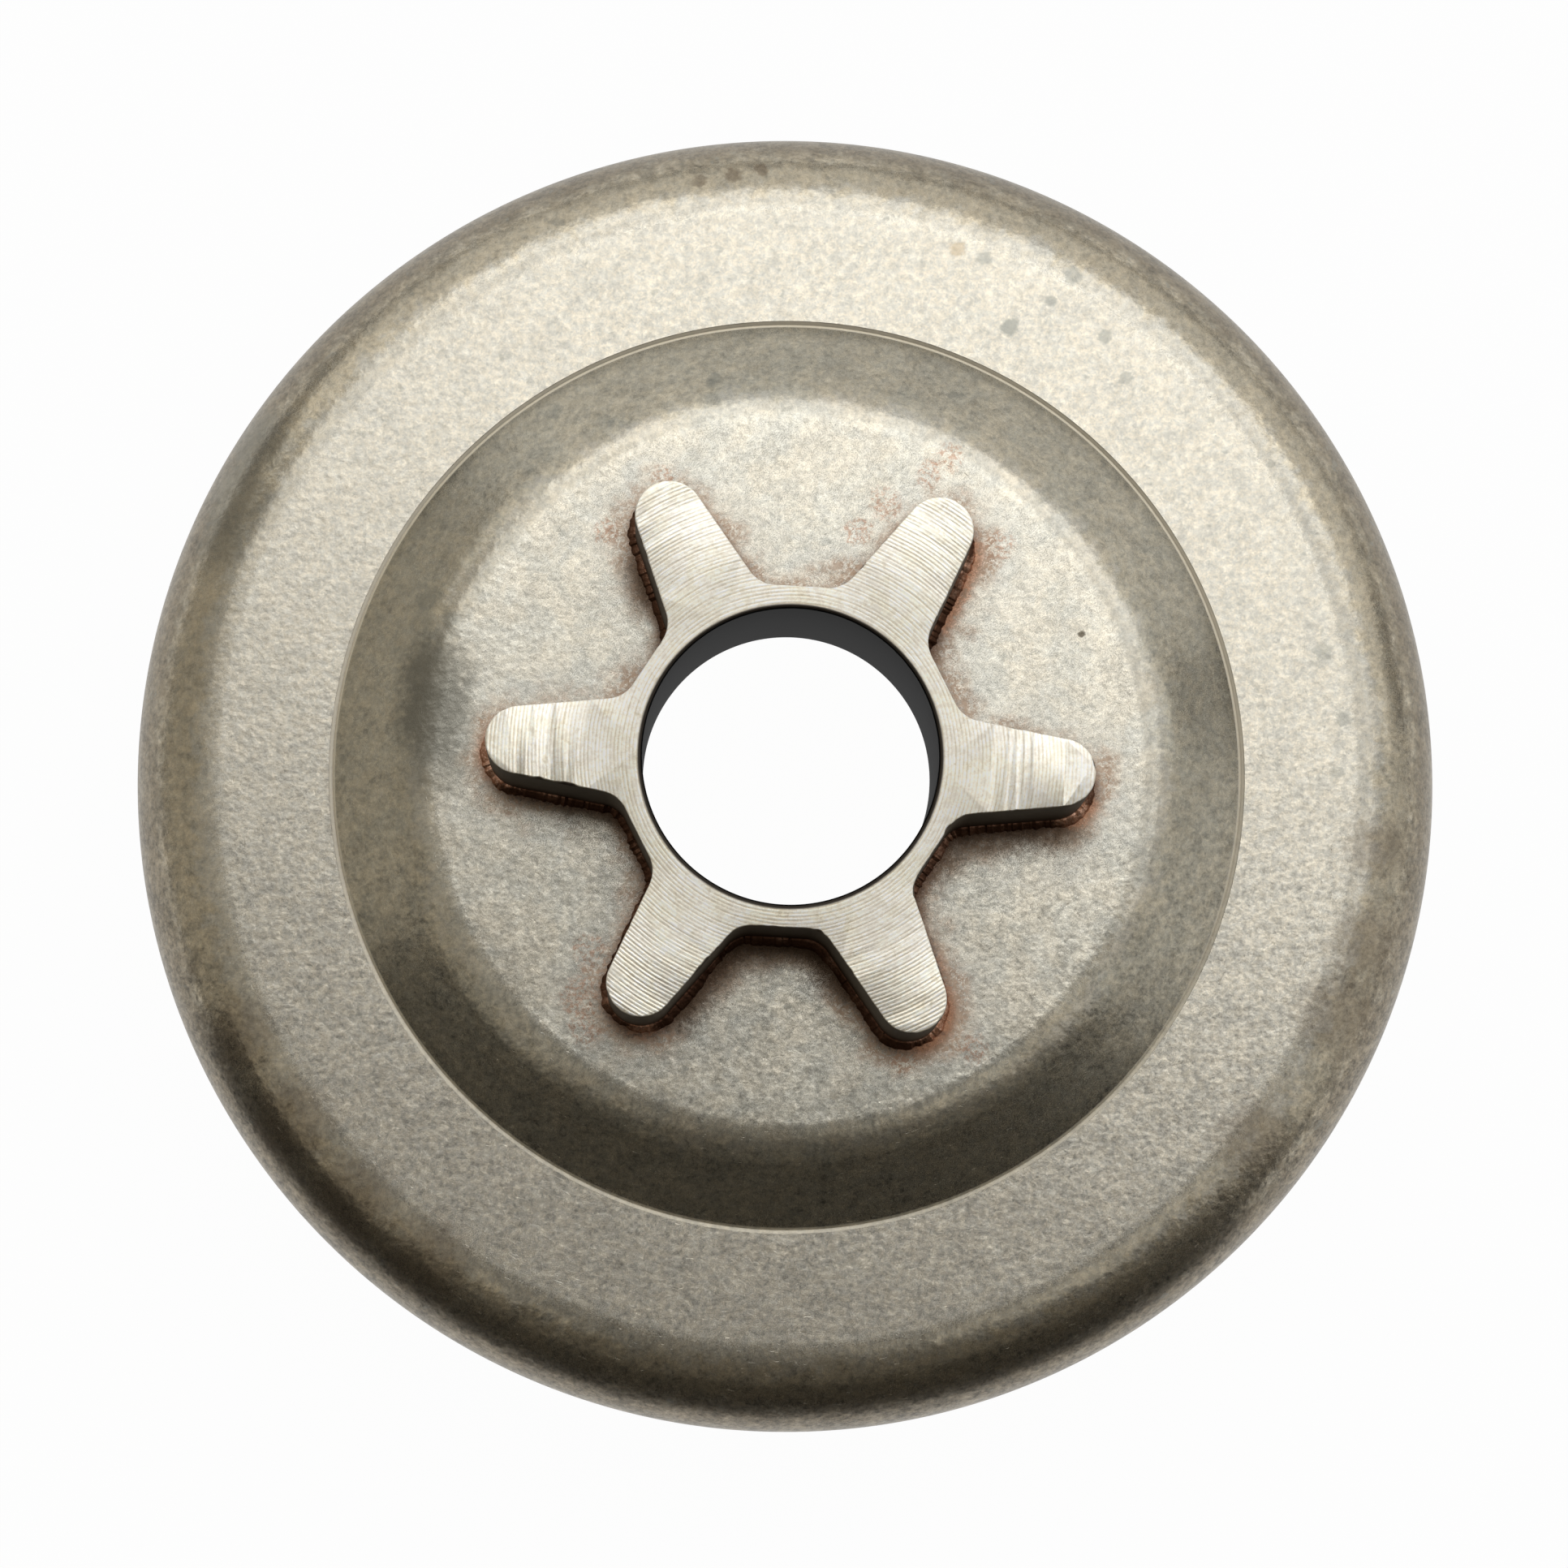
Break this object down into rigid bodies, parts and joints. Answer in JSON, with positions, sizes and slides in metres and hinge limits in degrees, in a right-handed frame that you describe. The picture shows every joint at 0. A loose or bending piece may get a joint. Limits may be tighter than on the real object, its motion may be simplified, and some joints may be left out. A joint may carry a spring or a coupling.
{
  "type": "clutch drum sprocket",
  "caption": "Pressed steel clutch cup with a raised centre and a spur chain sprocket brazed on, bored through for a needle bearing.",
  "frame": {"origin": "centre of the drum's rim plane, on the axis of the bore", "axes": "+Z runs along the bore's axis from the drum's open rim to the sprocket's end face; one tooth lies 3.4 degrees clockwise of +X"},
  "size_m": [0.068, 0.068, 0.0316],
  "materials": {
    "drum_steel": "tumbled bare steel, warm grey, with a fine mottled grain, stains and small nicks",
    "sprocket_steel": "turned end face with fine concentric lines, darker flanks and bore",
    "copper_braze": "dull copper braze with a brown halo"
  },
  "bodies": {
    "root": {"drum_cup": "drum_steel", "sprocket": "sprocket_steel", "braze_fillet": "copper_braze"}
  },
  "joints": []
}
